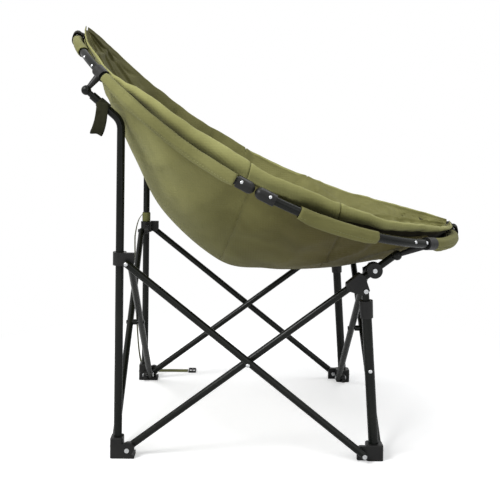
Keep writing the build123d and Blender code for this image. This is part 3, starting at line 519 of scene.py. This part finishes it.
def crease(t, share, side):
    """Valleys that run in from the rim at uneven places and die out towards the middle."""
    slant = t + 16.0 * (1 - share) * math.copysign(1.0, side)
    line = noise.noise(Vector((slant * 0.105, 3.7, 2.0 * side)))
    fine = noise.noise(Vector((slant * 0.27, 9.1, 4.0 * side)))
    deep = max(0.0, 1 - abs(line) / 0.16) ** 1.5
    light = max(0.0, 1 - abs(fine) / 0.14) ** 1.5
    return (0.0130 * deep + 0.0055 * light) * smooth(0.25, 0.70, share)


def pad_point(u, v, w, sewn=True):
    """w = 0 on the underside, 1 on the crowned top."""
    t = off_ends(station(v)[0])
    share = abs(u)
    kept = slump(u, t)
    wobble = 0.0060 * noise.noise(Vector((t * 0.085, 2.0 * u, 2.0)))
    wobble += 0.0030 * noise.noise(Vector((t * 0.26, u, 6.0)))
    wobble *= smooth(0.03, 0.20, ring(t, 1.0).x)
    low = bowl(u, v, 0.0125, 0.0075, rim_drop=0.003 - wobble)
    high = bowl(u, v, 0.0125 + PAD_LIP, 0.0075 + PAD_MID, rim_drop=0.003 - wobble)
    away = (high - low).normalized()
    place = low + (high - low) * w
    middle = (1 - smooth(0.88, 1.0, share)) * smooth(0.03, 0.24, ring(t, 1.0).x)
    waves = fold_noise(high, 0.009, 0.004) * (0.2 + 0.8 * middle)
    valleys = crease(t, share, u) * (0.12 + 0.88 * middle)
    place += away * w * (waves - valleys)
    if sewn:
        place -= away * w * CHANNEL_DEPTH * channel(u, v) * middle
    round_off = math.sqrt(max(0.0, 1 - (2 * w - 1) ** 2))
    place.z += 0.006 * round_off * smooth(0.965, 1.0, share)
    band = (1 - share) / LIP_BAND
    bulge = 0.0095 * kept * math.sin(math.pi * min(1.0, band)) - 0.0060 * math.exp(-((band - 1.18) / 0.16) ** 2)
    place.x += math.copysign(1.0, u) * bulge * (1 - w)
    return place


def lattice(nx, ny, nz):
    """A cube from -1 to 1, cut into a regular lattice of quads."""
    shape = bmesh.new()
    bmesh.ops.create_cube(shape, size=2.0)
    for axis, cuts in ((0, nx), (1, ny), (2, nz)):
        along = [e for e in shape.edges if abs((e.verts[0].co - e.verts[1].co).normalized()[axis]) > 0.9]
        bmesh.ops.subdivide_edges(shape, edges=along, cuts=cuts, use_grid_fill=True)
    return shape


def pad_faces(face):
    """0 quilted top, 1 lip in a paler copy of the cloth as painted light, 2 underside in a near-black copy as painted
    shade.
    """
    middle = face.calc_center_median()
    if abs(middle.x) > 1 - LIP_BAND ** (1 / 1.15) and middle.z < 0.35:
        return 1
    return 2 if middle.z < -0.95 else 0


def make_pad(span, sewn):
    first, last = SPANS[span]
    rows = int((last - first) * 14)
    shape = lattice(89, rows, 5)
    shares = []
    for face in shape.faces:
        face.material_index = pad_faces(face)
    for vert in shape.verts:
        x, y, z = vert.co
        u = math.copysign(1 - (1 - abs(x)) ** 1.15, x)
        v = first + (last - first) * (y + 1) / 2
        v += 0.0025 * (1 if y < -0.999 and first > 0 else (-1 if y > 0.999 and last < LAST else 0))
        shares.append((u, v, (z + 1) / 2))
        vert.co = pad_point(u, v, (z + 1) / 2, sewn)
    bmesh.ops.recalc_face_normals(shape, faces=shape.faces)
    pad = publish(shape, f"pad_{span}", pad_cloth, bodies_of[span])
    # slot 1 paints light on the lip, slot 2 paints shade on the underside
    for more in (painted_light_rim_cloth, painted_shade_underside_cloth):
        pad.data.materials.append(more)
    return pad, shares


# %% [markdown]
# Wadding gives quilted cloth its plump look, and pressure in a cloth simulation does the same. The
# underside is pinned, because it lies on the cover, and the top swells for twenty frames. Each point's
# travel is capped, and it fades out at the joints and at the two narrow ends. The lattice is already
# even, so it is simulated as it is, and the sewn channels are pressed in afterwards. The base and the
# front pad swell this way. The back pad's points don't move in it, for a reason that wasn't found, so
# the back keeps the crown that it is drawn with.

# %% Fill the pads
CAP = 0.009                           # furthest that a point travels
SWELL_FRAMES = 20
PINNED_BELOW = 0.15                   # share of the thickness that lies on the cover


def apply_all(piece):
    for modifier in list(piece.modifiers):
        bpy.context.view_layer.objects.active = piece
        with bpy.context.temp_override(object=piece, active_object=piece):
            bpy.ops.object.modifier_apply(modifier=modifier.name)


def swell(pad, span, shares):
    first, last = SPANS[span]
    mesh = pad.data
    start = [vert.co.copy() for vert in mesh.vertices]
    held = pad.vertex_groups.new(name="held")
    fixed = [k for k, (_, v, w) in enumerate(shares) if w < PINNED_BELOW or min(v, LAST - v) < 0.3]
    held.add(fixed, 1.0, "REPLACE")
    filling = pad.modifiers.new("filling", "CLOTH")
    made = filling.settings
    made.quality, made.mass = 4, 0.3
    made.vertex_group_mass = "held"
    made.use_pressure, made.uniform_pressure_force = True, 4.0
    made.effector_weights.gravity = 0.0
    made.bending_stiffness = 0.6
    filling.collision_settings.use_collision = False
    filling.point_cache.frame_start, filling.point_cache.frame_end = 1, SWELL_FRAMES
    for step in range(1, SWELL_FRAMES + 1):
        bpy.context.scene.frame_set(step)
    swollen = pad.evaluated_get(bpy.context.evaluated_depsgraph_get())
    moved = [vert.co.copy() for vert in swollen.data.vertices]
    pad.modifiers.remove(filling)
    bpy.context.scene.frame_set(1)
    normals = [vert.normal.copy() for vert in mesh.vertices]
    furthest = 0.0
    for k, vert in enumerate(mesh.vertices):
        u, v, w = shares[k]
        ends = [abs(v - end) for end in (first, last) if 0 < end < LAST]
        fade = min([smooth(0.05, 1.3, min(v, LAST - v))] + [smooth(0.0, 0.30, end) for end in ends])
        travel = (moved[k] - start[k]) * fade
        travel *= min(1.0, CAP / max(travel.length, 1e-9))
        furthest = max(furthest, travel.length)
        top = smooth(0.5, 0.95, w) * (1 - smooth(0.88, 1.0, abs(u))) * smooth(0.2, 1.5, min(v, LAST - v))
        vert.co = start[k] + travel - normals[k] * CHANNEL_DEPTH * channel(u, v) * top
    pad.vertex_groups.clear()
    finer = pad.modifiers.new("finer", "SUBSURF")
    finer.levels = finer.render_levels = 1
    apply_all(pad)
    return furthest


pads = {}
for span in SPANS:
    pad, shares = make_pad(span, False)
    moved_by = swell(pad, span, shares)
    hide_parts(f"seat_{span}_cushion")
    pads[span] = pad
    print(pad.name, len(pad.data.polygons), "faces, swollen by up to", round(moved_by * 1000, 1), "mm")

# %% [markdown]
# The sleeves are the cover's hem wrapped round the tube. A tube swept along the ring is widened a
# little, drawn out below where the cloth runs off to the bowl, and wrinkled across. Its thickness is
# closed at each open end.

# %% Sleeves on the ring
SLEEVES = {"rear": ((6.4, 24.0), (40.0, 81.2)), "front": ((97.0, 118.0), (141.5, 173.0))}
SLEEVE_R = 0.0101
STITCH_STEP, STITCH_END = 0.75, 0.9   # degrees of the ring
STITCH_LINE = math.radians(-52)       # where the seam runs round the tube


def sleeve_section(t, side):
    """Frame of the ring at t: tangent, outward and up directions across the tube."""
    ahead = (ring(t + 0.2, side) - ring(t - 0.2, side)).normalized()
    out = Vector((ring(t, side).x, ring(t, side).y, 0)).normalized()
    out = (out - ahead * out.dot(ahead)).normalized()
    return ahead, out, ahead.cross(out) * (1 if ahead.cross(out).z > 0 else -1)


def tube_along(t0, t1, side, radius, steps, ring_points, wrinkle=0.0, hem=0.0, hem_way=-104.0):
    """A cloth tube round the ring from t0 to t1, as one closed wall."""
    shape = bmesh.new()
    bmesh.ops.create_grid(shape, x_segments=ring_points, y_segments=steps, size=1.0)
    for vert in shape.verts:
        turn, f = vert.co.x * math.pi, (vert.co.y + 1) / 2
        t = t0 + (t1 - t0) * f
        _, out, up = sleeve_section(t, side)
        below = max(0.0, math.cos(turn - math.radians(hem_way)))
        ends = min(1.0, min(f, 1 - f) * (t1 - t0) / 2.5) if hem else 0.0
        loose = 0.5 + noise.noise(Vector((t * 0.11, turn * 1.5, side)))
        loose += 0.4 * noise.noise(Vector((t * 0.4, turn, 7.0 + side)))
        r = radius + wrinkle * max(0.0, loose) + hem * (0.45 + 0.55 * ends) * below ** 4
        vert.co = ring(t, side) + (out * math.cos(turn) + up * math.sin(turn)) * r
    bmesh.ops.remove_doubles(shape, verts=shape.verts, dist=0.00005)
    bmesh.ops.recalc_face_normals(shape, faces=shape.faces)
    return shape


for end, spans in SLEEVES.items():
    for side_name, side in SIDES:
        body_name = f"ring_{end}_{side_name}"
        for k, (t0, t1) in enumerate(spans):
            shape = tube_along(t0, t1, side, SLEEVE_R, int((t1 - t0) * 1.6), 40, wrinkle=0.0016, hem=0.0062)
            sleeve = publish(shape, f"sleeve_{end}_{side_name}_{k}", sleeve_cloth, body_name)
            thick = sleeve.modifiers.new("thickness", "SOLIDIFY")
            thick.thickness, thick.offset = 0.0011, 1.0
            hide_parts(f"ring_sleeves_{end}_{side_name}")
            stitches = bmesh.new()
            for n in range(int((t1 - t0) / STITCH_STEP)):
                t = t0 + STITCH_END + n * STITCH_STEP
                if t > t1 - STITCH_END:
                    break
                ahead, out, up = sleeve_section(t, side)
                way = out * math.cos(STITCH_LINE) + up * math.sin(STITCH_LINE)
                spot = ring(t, side) + way * (SLEEVE_R + 0.0027)
                turn = Matrix((ahead, out, up)).transposed().to_4x4()
                size = Matrix.Diagonal((0.0038, 0.0012, 0.0009, 1))
                bmesh.ops.create_cube(stitches, size=1.0, matrix=Matrix.Translation(spot) @ turn @ size)
            sewn_line = publish(stitches, f"sleeve_stitches_{end}_{side_name}_{k}", thread, body_name)
for end, t0, way in (("rear", 0.5, 78.0), ("front", 174.4, 60.0)):
    for side_name, side in SIDES:
        shape = tube_along(t0, t0 + 5.1, side, 0.0146, 8, 32, hem=0.010, hem_way=way)
        patch = publish(shape, f"joint_patch_{end}_{side_name}", dark_cloth, f"ring_{end}_{side_name}")
        thick = patch.modifiers.new("thickness", "SOLIDIFY")
        thick.thickness, thick.offset = 0.0014, 1.0
print("sleeves done")

# %% [markdown]
# A chair is held together by small things. Rivets are low domes, and one spin would do, but a squashed
# sphere with its underside cut off is quicker to place: it only needs a point and the way it faces.

# %% Rivets and buttons


def dome(place, facing_way, radius, height, name, body_name):
    shape = bmesh.new()
    bmesh.ops.create_uvsphere(shape, u_segments=20, v_segments=10, radius=1.0)
    every = shape.verts[:] + shape.edges[:] + shape.faces[:]
    bmesh.ops.bisect_plane(shape, geom=every, plane_co=(0, 0, -0.25), plane_no=(0, 0, -1), clear_outer=True)
    rim = [e for e in shape.edges if e.is_boundary]
    bmesh.ops.contextual_create(shape, geom=rim)
    turn = Vector(facing_way).normalized().to_track_quat("Z", "Y").to_matrix().to_4x4()
    size = Matrix.Diagonal((radius, radius, height, 1))
    bmesh.ops.transform(shape, verts=shape.verts, matrix=Matrix.Translation(place) @ turn @ size)
    bmesh.ops.recalc_face_normals(shape, faces=shape.faces)
    made = publish(shape, name, steel, body_name)


TUBE_R = 0.0095
for side_name, side in SIDES:
    for end, t, reach in (("rear", 28.5, TUBE_R), ("rear", 34.0, TUBE_R), ("rear", 82.7, 0.013),
                          ("front", 89.6, 0.013), ("front", 131.0, TUBE_R), ("front", 136.0, TUBE_R)):
        _, out, up = sleeve_section(t, side)
        way = (out + up * 0.25).normalized()
        dome(ring(t, side) + way * (reach - 0.0004), way, 0.0036, 0.0022,
             f"ring_rivet_{t:.0f}_{side_name}", f"ring_{end}_{side_name}")
    # spring button on the front leg and the screws of the feet
    lean = Vector((0, 0.022, 0.349)).normalized()
    button = Vector((side * 0.270, -0.239, 0.020)) + lean * 0.174
    dome(button + Vector((side * 0.0106, 0, 0)), (side, 0, 0), 0.0045, 0.0028,
         f"leg_button_{side_name}", f"corner_front_{side_name}")
    dome((side * 0.2714, 0.3398, 0.021), (0, 1, 0), 0.0042, 0.0024,
         f"foot_screw_rear_{side_name}", f"corner_rear_{side_name}")
    dome((side * 0.2714, -0.2578, 0.018), (0, -1, 0), 0.0042, 0.0024,
         f"foot_screw_front_{side_name}", f"corner_front_{side_name}")
    dome((side * 0.3054, 0.307, 0.427), (side, 0, 0), 0.0046, 0.0022,
         f"slider_rivet_{side_name}", f"short_brace_{side_name}")
    dome((side * 0.3054, 0.0408, 0.2110), (side, 0, 0), 0.0044, 0.0020,
         f"cross_rivet_{side_name}", f"short_brace_{side_name}")
print("fasteners done")

# %% [markdown]
# The straps are thin plates in the CAD model. Webbing is a ribbon with rounded edges, so both are made
# again: a flat rounded section is carried along a path, and its width turns with the path as a real
# strap does.

# %% Straps
SECTION_POINTS = 20
FULL_TURN = [math.tau * k / 40 for k in range(41)]


def ribbon(shape, path, across, width, thick):
    """Sweep a flat rounded section; across holds the direction of the width at every point."""
    loops = []
    angles = [math.tau * k / SECTION_POINTS for k in range(SECTION_POINTS)]
    section = [(math.copysign(abs(math.cos(a)) ** 0.35, math.cos(a)), math.sin(a)) for a in angles]
    for k, point in enumerate(path):
        ahead = (path[min(k + 1, len(path) - 1)] - path[max(k - 1, 0)]).normalized()
        side = (across[k] - ahead * across[k].dot(ahead)).normalized()
        face_way = ahead.cross(side)
        loops.append([shape.verts.new(point + side * (a * width / 2) + face_way * (b * thick / 2)) for a, b in section])
    for one, two in zip(loops, loops[1:]):
        for k in range(SECTION_POINTS):
            after = (k + 1) % SECTION_POINTS
            shape.faces.new((one[k], one[after], two[after], two[k]))
    shape.faces.new(list(reversed(loops[0])))
    shape.faces.new(loops[-1])


def curve_through(points, steps=10):
    """A smooth path through the points."""
    out = []
    for k in range(len(points) - 1):
        a, b, c, d = (points[max(0, min(len(points) - 1, k + n))] for n in (-1, 0, 1, 2))
        for n in range(steps):
            out.append(catmull_rom(a, b, c, d, n / steps))
    return out + [points[-1]]


# closure strap: one turn round the left post above its slider, then hanging behind it to the floor;
# it moves with the slider, as in the CAD model
POST_AT = Vector((0.270, 0.325, 0.0))
hang = [(0.272, 0.3375, 0.468), (0.273, 0.3475, 0.452), (0.276, 0.3555, 0.420), (0.288, 0.359, 0.380),
        (0.318, 0.358, 0.230), (0.336, 0.354, 0.110), (0.343, 0.347, 0.040), (0.344, 0.335, 0.0085),
        (0.344, 0.312, 0.0014), (0.344, 0.260, 0.0013), (0.344, 0.206, 0.0013)]
path = curve_through([Vector(p) for p in hang], 12)
across = [Vector((1, 0, 0))] * len(path)
strap_shape = bmesh.new()
ribbon(strap_shape, path, across, 0.025, 0.0018)
turn_path = [POST_AT + Vector((math.cos(a), math.sin(a), 0)) * 0.0106 + Vector((0, 0, 0.4625)) for a in FULL_TURN]
ribbon(strap_shape, turn_path, [Vector((0, 0, 1))] * 41, 0.025, 0.0018)
bmesh.ops.recalc_face_normals(strap_shape, faces=strap_shape.faces)
strap = publish(strap_shape, "closure_webbing", olive_webbing, "slider_left")
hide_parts("closure_strap")

# carry loop: a collar round the right post's bent top, and a loop of the same webbing hanging from it
SLOPE = Vector((-0.0072, 0.0764, 0.0670)).normalized()
COLLAR_AT = Vector((-0.270, 0.325, 0.737)) + SLOPE * 0.052
first_way = SLOPE.cross(Vector((1, 0, 0))).normalized()
second_way = SLOPE.cross(first_way).normalized()
loop_shape = bmesh.new()
collar = [COLLAR_AT + (first_way * math.cos(a) + second_way * math.sin(a)) * 0.0107 for a in FULL_TURN]
ribbon(loop_shape, collar, [SLOPE] * 41, 0.026, 0.0020)
dangle = [(-0.0118, 0.0, 0.006), (-0.0125, 0.001, -0.012), (-0.0150, 0.004, -0.034), (-0.0165, 0.009, -0.052),
          (-0.0150, 0.013, -0.061), (-0.0110, 0.011, -0.060), (-0.0100, 0.007, -0.050),
          (-0.0108, 0.003, -0.032), (-0.0118, 0.001, -0.014)]
loop_path = curve_through([COLLAR_AT + Vector((x - 0.0010, y, z)) for x, y, z in dangle], 10)
loop_across = [Matrix.Rotation(math.radians(24.0 * k / len(loop_path)), 3, "Z") @ Vector((0, 1, 0.12))
               for k in range(len(loop_path))]
ribbon(loop_shape, loop_path, loop_across, 0.026, 0.0020)
bmesh.ops.recalc_face_normals(loop_shape, faces=loop_shape.faces)
loop = publish(loop_shape, "carry_webbing", dark_webbing, "corner_rear_right")
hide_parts("carry_loop")

# %% [markdown]
# When the chair folds, the bowl crumples between the ring's quarters. Here each soft section only has its
# modifiers applied and gets a mesh of its own; it rides on its CAD body.

# %% Apply the soft sections' modifiers
for piece in list(skins.values()) + list(pads.values()):
    apply_all(piece)
    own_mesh(piece)
